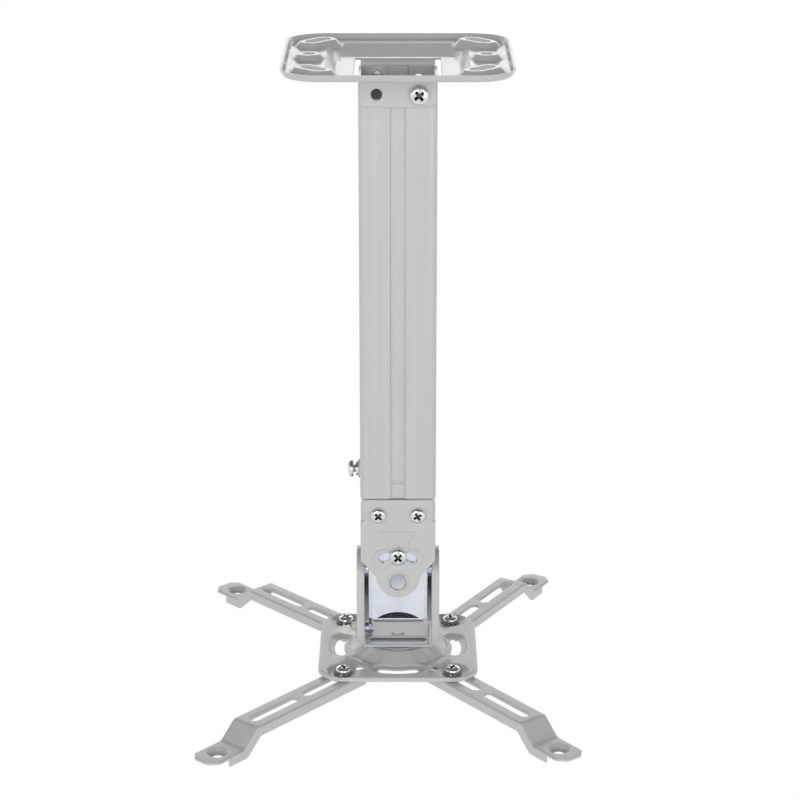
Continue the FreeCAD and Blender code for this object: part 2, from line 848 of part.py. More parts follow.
head = new_body("head_bracket")
art = drawing(head, "XY_Plane", bracket_top)
art.rectangle(-bracket_half, -bracket_half, bracket_half, bracket_half)
pad(art, S.bracket_sleeve, backwards=True)
round_edges(head, S.pole_corner - S.pole_gap, upright_corner(bracket_half))
bore = drawing(head, "XY_Plane", bracket_top)
bore.rectangle(-bracket_inner, -bracket_inner, bracket_inner, bracket_inner)
pocket(bore, S.bracket_sleeve)
round_edges(head, S.pole_corner - S.pole_wall - S.pole_gap, upright_corner(bracket_inner))
lobe_z = pivot_z + S.lobe_rise
shoulder_z = bracket_top - S.bracket_shoulder
plate_top = bracket_top - S.bracket_sleeve
for away in (bracket_inner, -bracket_half):
    art = drawing(head, "XZ_Plane", away)
    art.outline(lobe_points(lobe_z, plate_top, shoulder_z))
    pad(art, S.bracket_sheet)
slot_end_x = S.roll_slot_radius * sine(S.roll_slot_half_angle)
slot_end_z = pivot_z + S.roll_slot_radius * cosine(S.roll_slot_half_angle)
for away, backwards in ((bracket_half, False), (-bracket_half, True)):
    ridge = drawing(head, "XZ_Plane", away)
    ridge.circle(0.0, pivot_z, S.pivot_disc / 2 + S.bead_width * 1.3)
    ridge.circle(0.0, pivot_z, S.pivot_disc / 2 + S.bead_width * 0.3)
    pad(ridge, S.bead_height, backwards=backwards)
    emboss = drawing(head, "XZ_Plane", away)
    emboss.arc_slot(pivot_z, S.roll_slot_radius, S.roll_slot_half_angle, S.emboss_band / 2)
    pad(emboss, S.bead_height, backwards=backwards)
    emboss = drawing(head, "XZ_Plane", away)
    emboss.circle(-slot_end_x, slot_end_z, S.emboss_lobe)
    emboss.circle(slot_end_x, slot_end_z, S.emboss_lobe)
    pad(emboss, S.bead_height, backwards=backwards)
    emboss = drawing(head, "XZ_Plane", away)
    emboss.outline([
        (-S.funnel_neck_half, pivot_z + S.roll_slot_radius), (S.funnel_neck_half, pivot_z + S.roll_slot_radius),
        (S.funnel_neck_half, pivot_z + S.funnel_neck_rise), (S.funnel_top_half, pivot_z + S.funnel_rise),
        (-S.funnel_top_half, pivot_z + S.funnel_rise), (-S.funnel_neck_half, pivot_z + S.funnel_neck_rise)])
    pad(emboss, S.bead_height, backwards=backwards)
cuts = drawing(head, "XZ_Plane")
cuts.arc_slot(pivot_z, S.roll_slot_radius, S.roll_slot_half_angle, S.lock_slot_width / 2)
cuts.circle(0.0, pivot_z, S.pivot_disc / 2 + S.pivot_fit)
cuts.circle(-S.bracket_screw_spacing / 2, bracket_screw_z, S.small_thread / 2 + 0.2)
cuts.circle(S.bracket_screw_spacing / 2, bracket_screw_z, S.small_thread / 2 + 0.2)
pocket(cuts, S.pole_width * 2, symmetric=True)
corner_in, corner_low = bracket_half - S.bracket_corner, bracket_top - S.bracket_corner
past_side, past_top = bracket_half + 1.0, bracket_top + 1.0
for x in (-1, 1):
    nose = drawing(head, "XZ_Plane")
    nose.outline([
        (x * corner_in, bracket_top, x * corner_in, corner_low, S.bracket_corner, -x),
        (x * bracket_half, corner_low), (x * past_side, corner_low), (x * past_side, past_top),
        (x * corner_in, past_top)])
    pocket(nose, S.pole_width * 2, symmetric=True)

bracket_screw_length = S.bracket_sheet + S.bracket_fit + S.inner_wall + 2.0
for side, facing, name in ((-1, FRONT, "front"), (1, REAR, "rear")):
    for x, hand in ((-1, "left"), (1, "right")):
        screw("bracket_screw_%s_%s" % (name, hand), S.small_head, S.small_head_height, S.small_thread,
              bracket_screw_length, (x * S.bracket_screw_spacing / 2, side * bracket_half, bracket_screw_z), facing)


# gimbal link

link = new_body("gimbal_link")
link_top = pivot_z + S.link_top_rise
link_low = pivot_z - S.link_bottom_fall
arch_radius = (S.link_arch_half * S.link_arch_half + S.link_arch_rise * S.link_arch_rise) / (2 * S.link_arch_rise)
arch_z = link_low + S.link_arch_rise - arch_radius
for away in (link_face - S.link_sheet, -link_face):
    art = drawing(link, "XZ_Plane", away)
    art.outline([
        (-link_half, link_top), (link_half, link_top), (link_half, link_low),
        (S.link_arch_half, link_low, 0.0, arch_z, arch_radius, 1),
        (-S.link_arch_half, link_low), (-link_half, link_low)])
    pad(art, S.link_sheet)
lobe = S.link_lobe
art = drawing(link, "YZ_Plane", -link_half)
art.outline([
    (-link_face, link_top), (link_face, link_top), (link_face, link_low), (lobe * 2, link_low),
    (lobe, tilt_lock_z + lobe), (lobe, tilt_lock_z, 0.0, tilt_lock_z, lobe, -1),
    (-lobe, tilt_lock_z), (-lobe, tilt_lock_z + lobe), (-lobe * 2, link_low), (-link_face, link_low)])
pad(art, S.link_sheet)
art = drawing(link, "YZ_Plane", link_half - S.link_sheet)
art.rectangle(-link_face, link_low, link_face, link_top)
pad(art, S.link_sheet)


def link_corner(edge):
    middle = middle_of(edge)
    return (runs_along(edge, V(0, 0, 1)) and abs(abs(middle.x) - link_half.value) < 1e-4
            and abs(abs(middle.y) - link_face.value) < 1e-4)


round_edges(link, S.link_corner, link_corner)
art = drawing(link, "XY_Plane", link_low)
floor_half = link_half - S.link_corner
art.rectangle(-floor_half, -link_face, floor_half, link_face)
pad(art, S.link_floor, backwards=True)
round_edges(link, S.link_floor * 0.6, lambda e: runs_along(e, V(1, 0, 0))
            and abs(middle_of(e).z - (link_low - S.link_floor).value) < 1e-4)
collar = S.small_thread / 2 + 1.6
for away, depth, backwards in ((link_face - S.link_sheet, 2.5, True), (-link_face + S.link_sheet, 2.5, False)):
    art = drawing(link, "XZ_Plane", away)
    art.circle(0.0, pivot_z + S.roll_slot_radius, collar)
    pad(art, depth, backwards=backwards)
disc_height = S.link_gap + S.bracket_sheet - S.pivot_recess
for away, backwards in ((link_face, False), (-link_face, True)):
    art = drawing(link, "XZ_Plane", away)
    art.circle(0.0, pivot_z, S.pivot_disc / 2)
    pad(art, disc_height, backwards=backwards)
cuts = drawing(link, "XZ_Plane")
cuts.circle(0.0, pivot_z + S.roll_slot_radius, S.small_thread / 2 + S.thread_fit)
pocket(cuts, S.pole_width * 2, symmetric=True)
cuts = drawing(link, "YZ_Plane")
cuts.circle(0.0, pivot_z, S.tilt_pin / 2 + 0.05)
cuts.circle(0.0, tilt_lock_z, S.tilt_thread / 2 + S.thread_fit)
pocket(cuts, S.pole_width * 2, symmetric=True)

lock_z_roll = pivot_z + S.roll_slot_radius
roll_seat = bracket_half + S.bead_height + 0.15
for side, facing, name in ((-1, FRONT, "front"), (1, REAR, "rear")):
    washer("roll_lock_washer_" + name, S.small_head + 1.0, S.small_thread + 0.1, S.small_washer_height,
           (0.0, side * roll_seat, lock_z_roll), facing)
    seat = roll_seat + S.small_washer_height
    screw("roll_lock_screw_" + name, S.large_head - 1.0, S.small_head_height, S.small_thread,
          seat - link_face + S.link_sheet + 2.5, (0.0, side * seat, lock_z_roll), facing)


# tilt pins and tilt lock

def tilt_rivet(label, side):
    # stepped pin: inside head, shank through the link, shoulder in the gap, riveted head outside
    body = new_body(label)
    art = drawing(body, "XZ_Plane")
    pin = S.tilt_pin / 2
    head_r = S.tilt_pin_head / 2
    inside = link_half - S.link_sheet - S.running_gap
    art.outline([
        (0.0, inside - S.tilt_pin_head_height), (head_r, inside - S.tilt_pin_head_height), (head_r, inside),
        (pin, inside), (pin, link_half + S.running_gap), (head_r, link_half + S.running_gap),
        (head_r, ear_inner), (pin, ear_inner), (pin, ear_outer), (head_r, ear_outer),
        (head_r - 1.0, ear_outer + S.tilt_pin_head_height), (0.0, ear_outer + S.tilt_pin_head_height)])
    revolve(art)
    place(body, 0.0, 0.0, pivot_z, V(0, 1, 0), 90.0 * side)


tilt_rivet("tilt_rivet_left", -1)
tilt_rivet("tilt_rivet_right", 1)

# the lock's stud stands on the link's left side and passes the ear's slot; a collar fills the
# ear's channel, so that the lever turns clear of the ear's flange
stud_seat = link_half - S.link_sheet
washer_height = S.yoke_gap - 2 * S.running_gap
collar_seat = ear_outer + S.running_gap
lever_seat = ear_inner + S.yoke_flange + S.flange_clearance
stud_length = lever_seat + S.running_gap + S.lever_hub_height + 0.4 - stud_seat
screw("tilt_lock_stud", S.tilt_stud_head, S.tilt_stud_head_height, S.tilt_thread, stud_length,
      (-stud_seat, 0.0, tilt_lock_z), RIGHT)
washer("tilt_lock_washer", S.tilt_collar, S.tilt_thread + 0.1, washer_height,
       (-link_half - S.running_gap, 0.0, tilt_lock_z), LEFT)
washer("tilt_lock_collar", S.tilt_collar, S.tilt_thread + 0.1, lever_seat - collar_seat,
       (-collar_seat, 0.0, tilt_lock_z), LEFT)

lever = new_body("tilt_lock_lever")
art = drawing(lever, "YZ_Plane")
art.circle(0.0, 0.0, S.lever_hub / 2)
pad(art, S.lever_hub_height, backwards=True)
art = drawing(lever, "XY_Plane", -S.lever_sheet / 2)
reach, front, rear = S.lever_reach, S.lever_front, S.lever_rear
art.outline([
    (-0.2, rear), (-reach * 0.5, rear * 0.67), (-reach * 0.74, rear * 0.29), (-reach, -front * 0.27),
    (-reach * 0.78, -front * 0.57), (-reach * 0.46, -front * 0.76), (-0.2, -front)])
pad(art, S.lever_sheet)
round_edges(lever, 0.9, lambda edge: runs_along(edge, V(0, 0, 1)) and middle_of(edge).x < -1.0)
art = drawing(lever, "YZ_Plane", 1.0)
art.circle(0.0, 0.0, S.tilt_thread / 2 + S.thread_fit)
pocket(art, S.lever_hub_height + 2.0)
place(lever, -(lever_seat + S.running_gap), 0.0, tilt_lock_z)


# yoke

yoke = new_body("yoke")
wall_top = floor_low + 9.0
art = drawing(yoke, "XZ_Plane")
art.outline([
    (-ear_outer, floor_low), (ear_outer, floor_low), (ear_outer, wall_top), (ear_inner, wall_top),
    (ear_inner, floor_top), (-ear_inner, floor_top), (-ear_inner, wall_top), (-ear_outer, wall_top)])
pad(art, S.yoke_half_depth * 2, symmetric=True)
half_depth = S.yoke_half_depth
start = floor_low + S.yoke_flange_start
round_edges(yoke, S.yoke_bend, lambda e: runs_along(e, V(0, 1, 0))
            and abs(abs(middle_of(e).x) - ear_outer.value) < 1e-4 and abs(middle_of(e).z - floor_low.value) < 1e-4)
round_edges(yoke, S.yoke_bend * 0.3, lambda e: runs_along(e, V(0, 1, 0))
            and abs(abs(middle_of(e).x) - ear_inner.value) < 1e-4 and abs(middle_of(e).z - floor_top.value) < 1e-4)
for away in (ear_inner, -ear_outer):
    art = drawing(yoke, "YZ_Plane", away)
    art.outline([
        (-half_depth, start), (half_depth, start),
        (half_depth, arc_z, 0.0, arc_z, half_depth, 1), (-half_depth, arc_z)])
    pad(art, S.yoke_sheet)
hoop = half_depth - S.yoke_sheet
yoke_lip = S.yoke_gap - S.yoke_lip_gap
for away, length in ((ear_inner, S.yoke_flange), (-(ear_inner + S.yoke_flange), S.yoke_flange),
                     (ear_inner - yoke_lip, yoke_lip), (-ear_inner, yoke_lip)):
    art = drawing(yoke, "YZ_Plane", away)
    art.outline([
        (half_depth, start), (half_depth, arc_z, 0.0, arc_z, half_depth, 1),
        (-half_depth, arc_z), (-half_depth, start), (-hoop, start),
        (-hoop, arc_z, 0.0, arc_z, hoop, -1), (hoop, arc_z), (hoop, start)])
    pad(art, length)
cuts = drawing(yoke, "XZ_Plane", half_depth + 1.0)
cuts.rectangle(-ear_inner, start, ear_inner, arc_z + half_depth + 1.0)
pocket(cuts, half_depth + 1.0)
cuts = drawing(yoke, "YZ_Plane")
cuts.circle(0.0, pivot_z, S.tilt_pin / 2 + 0.05)
cuts.arc_slot(pivot_z, S.tilt_lock_fall, S.tilt_slot_half_angle, S.tilt_thread / 2 + 0.2, above=False)
pocket(cuts, S.pole_width * 3, symmetric=True)
cuts = drawing(yoke, "XY_Plane", floor_top + 1.0)
slot_r = S.floor_slot_width / 2
reach = S.floor_slot_length / 2 - slot_r
cuts.slot(-reach, reach, -S.floor_slot_offset, slot_r)
cuts.circle(0.0, 0.0, S.swivel_pin / 2 + 0.05)
pocket(cuts, S.yoke_sheet + 2.0)

pivot = new_body("swivel_rivet")
art = drawing(pivot, "XZ_Plane")
pin, head_r = S.swivel_pin / 2, S.swivel_head / 2
under = dome_top - S.base_sheet
art.outline([
    (0.0, floor_top + S.swivel_head_height), (head_r - 1.2, floor_top + S.swivel_head_height),
    (head_r, floor_top), (pin, floor_top), (pin, under - S.running_gap), (head_r, under - S.running_gap),
    (head_r - 1.0, under - S.running_gap - S.swivel_head_height),
    (0.0, under - S.running_gap - S.swivel_head_height)])
revolve(art)
washer("swivel_disc", S.swivel_disc, S.swivel_pin + 0.1, S.swivel_disc_sheet,
       (0.0, 0.0, disc_top - S.swivel_disc_sheet), UP)


# turning base plate

def base_plate():
    t = S.base_sheet.value
    top = base_top.value
    half_x, half_y = S.base_width.value / 2, S.base_depth.value / 2
    corner = S.base_corner.value
    lean = S.base_rim_lean.value
    rim = S.base_rim.value
    drop = rim * lean

    def cap(inset, z_top, z_low):
        return between(rounded_rectangle(half_x - inset, half_y - inset, corner - inset, z_low),
                       rounded_rectangle(half_x - inset - drop, half_y - inset - drop, corner - inset - drop, z_top))

    outer = cap(0.0, top, top - rim)
    edges = [e for e in outer.Edges if abs(e.BoundBox.ZMin - top) < 1e-4 and abs(e.BoundBox.ZMax - top) < 1e-4]
    outer = outer.makeFillet(t * 0.9, edges)
    inner = cap(t, top - t, top - rim - 0.5)
    high, r_top, r_base = S.dome_height.value, S.dome_top_radius.value, S.dome_base_radius.value
    less = t * 0.3
    outer = outer.fuse(between(round_wire(0, 0, r_base, top), round_wire(0, 0, r_top, top + high)))
    inner = inner.fuse(between(round_wire(0, 0, r_base - less, top - t), round_wire(0, 0, r_top - less, top + high - t)))
    body = outer.cut(inner)

    deep, rad, slope = S.recess_depth.value, S.recess_radius.value, S.recess_slope.value
    more = t * 0.4
    cuts = []
    for x in (-arm_screw_x.value, arm_screw_x.value):
        for y in (-arm_screw_y.value, arm_screw_y.value):
            body = body.fuse(between(round_wire(x, y, rad + more, top - deep - t),
                                     round_wire(x, y, rad + slope + more, top - 0.2)))
            cuts.append(between(round_wire(x, y, rad, top - deep), round_wire(x, y, rad + slope + slope, top + deep)))
            cuts.append(upright(round_wire(x, y, S.small_thread.value / 2 + 0.15, top - 4 * t), 6 * t))
    bend = S.base_slot_radius.value
    half = S.base_slot_width.value / 2
    sweep = math.degrees((S.base_slot_length.value / 2 - half) / bend)
    dip = S.base_slot_recess.value
    margin = half + S.base_slot_margin.value
    for angle in (0, 90, 180, 270):
        body = body.fuse(between(arc_slot_wire(bend, angle, sweep, margin + more, top - dip - t),
                                 arc_slot_wire(bend, angle, sweep, margin + dip + more, top - 0.2)))
    for angle in (0, 90, 180, 270):
        cuts.append(between(arc_slot_wire(bend, angle, sweep, margin, top - dip),
                            arc_slot_wire(bend, angle, sweep, margin + 2 * dip, top + dip)))
        cuts.append(upright(arc_slot_wire(bend, angle, sweep, half, top - 4 * t), 8 * t))
    for x in (-S.base_hole_along.value, S.base_hole_along.value):
        for y in (-S.base_hole_across.value, S.base_hole_across.value):
            cuts.append(upright(round_wire(x, y, S.base_hole.value / 2, top - 4 * t), 8 * t))
    cuts.append(upright(round_wire(0, 0, S.swivel_pin.value / 2 + 0.05, top), 8 * t))
    for tool in cuts:
        body = body.cut(tool)
    return body.removeSplitter()


pressed_part("bottom_plate", base_plate())


# arms

arm_r = S.arm_slot_width / 2
inner_travel = S.arm_inner_slot - S.arm_slot_width
outer_start = inner_travel + arm_r + S.arm_bridge + arm_r
outer_end = outer_start + S.arm_outer_slot - S.arm_slot_width
step_start = outer_end + arm_r + S.arm_flat
step_end = step_start + S.arm_step_length
foot_hole_x = outer_end + arm_r + S.arm_foot_hole_reach
tip_x = foot_hole_x + S.arm_tip_reach
slope = (root(S.arm_step_length * S.arm_step_length + S.arm_step_drop * S.arm_step_drop)
         - S.arm_step_length) / S.arm_step_drop
slope_shift = S.arm_sheet * slope
flange_shift = S.arm_height * slope


def arm(label, turn, draw, x_side, y_side):
    # local frame: X outward along the arm, zero where the fully drawn-out arm meets its screw
    body = new_body(label)
    tail = -S.arm_tail
    drop = S.arm_step_drop
    t = S.arm_sheet
    art = drawing(body, "XZ_Plane")
    art.outline([
        (tail, 0.0), (step_start, 0.0), (step_end, -drop), (tip_x, -drop), (tip_x, -drop - t),
        (step_end - slope_shift, -drop - t), (step_start - slope_shift, -t), (tail, -t)])
    pad(art, S.arm_width, symmetric=True)
    half = S.arm_width / 2
    deep = S.arm_height
    for away in (half - t, -half):
        art = drawing(body, "XZ_Plane", away)
        art.outline([
            (tail, 0.0), (step_start, 0.0), (step_end, -drop), (foot_hole_x, -drop),
            (foot_hole_x, -drop - deep), (step_end - flange_shift, -drop - deep),
            (step_start - flange_shift, -deep), (tail, -deep)])
        pad(art, t)
    low = step_start.value - 4.0
    high = step_end.value + 4.0
    round_edges(body, S.arm_bend, lambda e: runs_along(e, V(0, 1, 0)) and low < middle_of(e).x < high)

    def top_side(e):
        box = e.BoundBox
        on_side = abs(abs(box.YMin) - half.value) < 1e-4 and box.YLength < 1e-4
        return on_side and box.XLength > 1.0 and box.ZMax > -drop.value - 1e-3 and not (
            box.ZMax < -t.value and box.XMin < step_start.value and box.XMax < step_start.value)

    chosen_top = []
    shape = body.Tip.Shape
    for i, e in enumerate(shape.Edges):
        if not top_side(e):
            continue
        if all(abs(v.Point.z - arm_line(v.Point.x)) < 0.9 for v in e.Vertexes):
            chosen_top.append("Edge%d" % (i + 1))
    rounding = body.newObject("PartDesign::Fillet", body.Label + "_long_edges")
    rounding.Base = (body.Group[-2], chosen_top)
    rounding.setExpression("Radius", S.arm_edge.text)
    doc.recompute()
    boss = body.newObject("PartDesign::AdditiveCone", body.Label + "_dish")
    boss.setExpression("Radius1", (S.foot_dish / 2 - 0.9).text)
    boss.setExpression("Radius2", (S.foot_dish / 2 + 0.6).text)
    boss.setExpression("Height", (S.foot_dish_depth + S.foot_dish_floor - t).text)
    boss.setExpression("Placement.Base.x", foot_hole_x.text)
    boss.setExpression("Placement.Base.z", (-drop - S.foot_dish_depth - S.foot_dish_floor).text)
    doc.recompute()
    dish = body.newObject("PartDesign::SubtractiveCone", body.Label + "_dish_cut")
    dish.setExpression("Radius1", (S.foot_dish / 2 - 2.3).text)
    dish.setExpression("Radius2", (S.foot_dish / 2).text)
    dish.setExpression("Height", S.foot_dish_depth.text)
    dish.setExpression("Placement.Base.x", foot_hole_x.text)
    dish.setExpression("Placement.Base.z", (-drop - S.foot_dish_depth).text)
    doc.recompute()
    cuts = drawing(body, "XY_Plane", 1.0)
    cuts.slot(0.0, inner_travel, 0.0, arm_r)
    cuts.slot(outer_start, outer_end, 0.0, arm_r)
    cuts.circle(foot_hole_x, 0.0, S.foot_hole / 2)
    pocket(cuts, drop + deep + 4.0)
    nose = drawing(body, "XY_Plane", 1.0)
    c = S.arm_tip_chamfer
    nose.outline([(tip_x - c, half), (tip_x + 1.0, half + 1.0), (tip_x + 1.0, half - c - 1.0)])
    nose.outline([(tip_x - c, -half), (tip_x + 1.0, -half - 1.0), (tip_x + 1.0, -half + c + 1.0)])
    pocket(nose, drop + deep + 4.0)
    place(body, x_side * arm_screw_x - draw * cosine(turn),
          y_side * arm_screw_y - draw * sine(turn), arm_top, V(0, 0, 1), turn)


def arm_line(x):
    a, b = step_start.value, step_end.value
    if x <= a:
        return 0.0
    if x >= b:
        return -S.arm_step_drop.value
    return -S.arm_step_drop.value * (x - a) / (b - a)


arm_sets = (
    ("front_left", S.front_left_turn, S.front_left_draw, -1, -1),
    ("front_right", S.front_right_turn, S.front_right_draw, 1, -1),
    ("rear_left", S.rear_left_turn, S.rear_left_draw, -1, 1),
    ("rear_right", S.rear_right_turn, S.rear_right_draw, 1, 1),
)
arm_seat = recess_floor + S.small_washer_height
arm_screw_length = S.small_washer_height + S.base_sheet + S.arm_sheet + S.small_nut_height + 0.5
for name, turn, draw, x_side, y_side in arm_sets:
    arm("arm_" + name, turn, draw, x_side, y_side)
    x, y = x_side * arm_screw_x, y_side * arm_screw_y
    washer("arm_washer_" + name, S.small_washer, S.small_thread + 0.1, S.small_washer_height,
           (x, y, recess_floor), UP)
    screw("arm_screw_" + name, S.arm_screw_head, S.small_head_height, S.small_thread, arm_screw_length,
          (x, y, arm_seat), UP)
    nut("arm_nut_" + name, S.small_nut_across, S.small_nut_height, S.small_thread,
        (x, y, arm_top - S.arm_sheet), DOWN, flange=S.nut_flange)


# checks and export

doc.recompute()
faults = []
for item in doc.Objects:
    if "Invalid" in item.State or "Error" in item.State:
        faults.append("%s: %s" % (item.Label, item.State))
for item in parts:
    if item.Shape.isNull() or not item.Shape.isValid():
        faults.append("%s: no valid shape" % item.Label)
    elif len(item.Shape.Solids) != 1:
        faults.append("%s: %d solids" % (item.Label, len(item.Shape.Solids)))
if faults:
    raise RuntimeError("; ".join(faults))

os.makedirs("parts", exist_ok=True)
for item in parts:
    item.Shape.exportStep("parts/%s.step" % item.Label)
print("%d parts written" % len(parts))
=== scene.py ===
import json
import math
import bmesh
import bpy
from mathutils import Matrix, Vector

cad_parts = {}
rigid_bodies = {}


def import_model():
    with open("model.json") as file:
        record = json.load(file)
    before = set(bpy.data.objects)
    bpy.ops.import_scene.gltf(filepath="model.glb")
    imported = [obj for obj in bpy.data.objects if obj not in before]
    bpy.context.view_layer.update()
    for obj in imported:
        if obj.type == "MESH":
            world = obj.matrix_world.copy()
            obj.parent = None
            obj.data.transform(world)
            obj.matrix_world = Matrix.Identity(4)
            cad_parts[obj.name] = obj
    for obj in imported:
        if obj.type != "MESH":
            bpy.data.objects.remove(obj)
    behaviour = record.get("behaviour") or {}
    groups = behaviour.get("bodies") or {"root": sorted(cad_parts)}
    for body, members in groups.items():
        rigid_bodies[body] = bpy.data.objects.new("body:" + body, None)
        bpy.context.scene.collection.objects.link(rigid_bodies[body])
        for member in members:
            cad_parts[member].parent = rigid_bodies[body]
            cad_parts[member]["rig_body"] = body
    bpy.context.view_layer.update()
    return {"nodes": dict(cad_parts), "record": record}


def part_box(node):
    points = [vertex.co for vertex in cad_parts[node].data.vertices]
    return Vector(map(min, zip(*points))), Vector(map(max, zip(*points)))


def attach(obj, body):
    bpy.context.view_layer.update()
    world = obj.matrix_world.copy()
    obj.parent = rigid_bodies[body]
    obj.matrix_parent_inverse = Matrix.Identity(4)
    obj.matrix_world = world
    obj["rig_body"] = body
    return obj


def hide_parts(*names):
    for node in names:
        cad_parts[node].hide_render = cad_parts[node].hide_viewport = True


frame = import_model()
nodes = frame["nodes"]
mm = 0.001
toFront, toRear = Vector((0, -1, 0)), Vector((0, 1, 0))
toLeft, toTop = Vector((-1, 0, 0)), Vector((0, 0, 1))


# materials

def newMaterial(name):
    material = bpy.data.materials.new(name)
    material.use_nodes = True
    tree = material.node_tree
    return material, tree, tree.nodes["Principled BSDF"]


def noiseNode(tree, scale, detail, stretch=None):
    place = tree.nodes.new("ShaderNodeTexCoord")
    noise = tree.nodes.new("ShaderNodeTexNoise")
    noise.inputs["Scale"].default_value = scale
    noise.inputs["Detail"].default_value = detail
    if stretch:
        mapping = tree.nodes.new("ShaderNodeMapping")
        mapping.inputs["Scale"].default_value = stretch
        tree.links.new(place.outputs["Object"], mapping.inputs["Vector"])
        tree.links.new(mapping.outputs["Vector"], noise.inputs["Vector"])
    else:
        tree.links.new(place.outputs["Object"], noise.inputs["Vector"])
    return noise


# the part of the noise's range that a colour or a roughness spreads over
noiseBand = {"colour": (0.32, 0.68), "rough": (0.3, 0.7)}


def rampNode(tree, noise, colour, darker, lighter):
    ramp = tree.nodes.new("ShaderNodeValToRGB")
    for stop, at, share in zip(ramp.color_ramp.elements, noiseBand["colour"], (darker, lighter)):
        stop.position = at
        stop.color = (*[min(1.0, c * share) for c in colour], 1)
    tree.links.new(noise.outputs["Fac"], ramp.inputs["Fac"])
    return ramp


def spread(tree, noise, low, high):
    span = tree.nodes.new("ShaderNodeMapRange")
    span.inputs["From Min"].default_value, span.inputs["From Max"].default_value = noiseBand["rough"]
    span.inputs["To Min"].default_value = low
    span.inputs["To Max"].default_value = high
    tree.links.new(noise.outputs["Fac"], span.inputs["Value"])
    return span


def addBump(tree, shader, noise, strength, distance, softEdge=None):
    bump = tree.nodes.new("ShaderNodeBump")
    if softEdge:  # the coat rounds the edges that it covers
        edge = tree.nodes.new("ShaderNodeBevel")
        edge.samples = softEdge["samples"]
        edge.inputs["Radius"].default_value = softEdge["radius"]
        tree.links.new(edge.outputs["Normal"], bump.inputs["Normal"])
    bump.inputs["Strength"].default_value = strength
    bump.inputs["Distance"].default_value = distance
    tree.links.new(noise.outputs["Fac"], bump.inputs["Height"])
    tree.links.new(bump.outputs["Normal"], shader.inputs["Normal"])


# a paint's own settings come before these
paintBase = {"patch": 30.0, "streak": 160.0, "relief": 0.12, "bump": 0.06 * mm, "darker": 0.975, "lighter": 1.02,
             "coatWeight": 0.85, "coatRough": 0.09, "colourDetail": 2.0, "roughDetail": 2.0, "grainDetail": 3.0}


def paint(name, settings, softEdge=None, stretch=None):
    material, tree, shader = newMaterial(name)
    look = {**paintBase, **settings}
    patches = noiseNode(tree, look["patch"], look["colourDetail"], stretch)
    ramp = rampNode(tree, patches, look["colour"], look["darker"], look["lighter"])
    tree.links.new(ramp.outputs["Color"], shader.inputs["Base Color"])
    rough = spread(tree, noiseNode(tree, look["streak"], look["roughDetail"], stretch), *look["rough"])
    tree.links.new(rough.outputs["Result"], shader.inputs["Roughness"])
    shader.inputs["Coat Weight"].default_value = look["coatWeight"]
    shader.inputs["Coat Roughness"].default_value = look["coatRough"]
    grain = noiseNode(tree, look["grain"], look["grainDetail"], stretch)
    addBump(tree, shader, grain, look["relief"], look["bump"], softEdge)
    return material


metalBase = {"relief": 0.05, "bump": 0.04 * mm, "darker": 0.93, "lighter": 1.05,
             "patchShare": 0.3, "bumpShare": 2.0, "detail": 3.0, "bumpDetail": 2.0}


def metal(name, settings, stretch=None):
    material, tree, shader = newMaterial(name)
    look = {**metalBase, **settings}
    patches = noiseNode(tree, look["grain"] * look["patchShare"], look["detail"])
    ramp = rampNode(tree, patches, look["colour"], look["darker"], look["lighter"])
    tree.links.new(ramp.outputs["Color"], shader.inputs["Base Color"])
    rough = spread(tree, noiseNode(tree, look["grain"], look["detail"], stretch), *look["rough"])
    tree.links.new(rough.outputs["Result"], shader.inputs["Roughness"])
    shader.inputs["Metallic"].default_value = 1.0
    grain = noiseNode(tree, look["grain"] * look["bumpShare"], look["bumpDetail"], stretch)
    addBump(tree, shader, grain, look["relief"], look["bump"])
    return material


coat = {"colour": (0.58, 0.58, 0.582), "rough": (0.34, 0.44), "grain": 1400.0, "patch": 22.0}
drawn = {"colour": coat["colour"], "rough": (0.30, 0.48), "grain": 900.0,
         "patch": 260.0, "streak": 500.0, "relief": 0.2}
cream = {"colour": (0.78, 0.77, 0.70), "rough": (0.30, 0.42), "grain": 1100.0}
zinc = {"colour": (0.66, 0.70, 0.75), "rough": (0.20, 0.34), "grain": 420.0}
dullZinc = {"colour": (0.46, 0.49, 0.51), "rough": (0.46, 0.62), "grain": 500.0}
bright = {"colour": (0.68, 0.69, 0.70), "rough": (0.07, 0.15), "grain": 900.0}
# near-black metal for the faces inside the screw heads' cross recess: painted shade in the recess
recess = {"colour": (0.10, 0.10, 0.10), "rough": (0.35, 0.50), "grain": 900.0}
darkSteel = {"colour": (0.42, 0.42, 0.43), "rough": (0.18, 0.30), "grain": 900.0}
coatEdge = {"samples": 8, "radius": 0.9 * mm}
alongLink, alongTube = (1.0, 1.0, 0.15), (1.0, 1.0, 0.02)

materials = {
    "coated_steel": paint("coatedSteel", coat, coatEdge),
    "zinc_plate": metal("zincPlate", zinc, alongLink),
    "bright_fastener": metal("brightFastener", bright),
    "lever_finish": paint("leverFinish", cream),
}
pressedCoat = paint("coatedPressing", coat)
drawnCoat = paint("coatedTube", drawn, coatEdge, alongTube)  # faint lines along the drawn tubes
dullerZincMetal = metal("dullerZinc", dullZinc)
recessShadeMetal = metal("screwRecessShade", recess)
washerMetal = metal("washerSteel", darkSteel)
for subpart in frame["record"]["subparts"]:
    node = nodes[subpart["node"]]
    node.data.materials.clear()
    node.data.materials.append(materials[subpart["material_slot"]])
for name in ("outer_tube", "inner_tube"):
    nodes[name].data.materials[0] = drawnCoat
nodes["swivel_disc"].data.materials[0] = dullerZincMetal  # a duller, darker zinc than the plated parts
nodes["swivel_rivet"].data.materials[0] = materials["coated_steel"]  # coated over with the yoke
print("materials done", len(materials))


# pressed sheet: the solids' sharp edges become the rounds that pressing and the coat leave

def meshOf(name, bm, material):
    mesh = bpy.data.meshes.new(name)
    bm.normal_update()
    bm.to_mesh(mesh)
    bm.free()
    mesh.materials.append(material)
    piece = bpy.data.objects.new(name, mesh)
    bpy.context.scene.collection.objects.link(piece)
    return piece


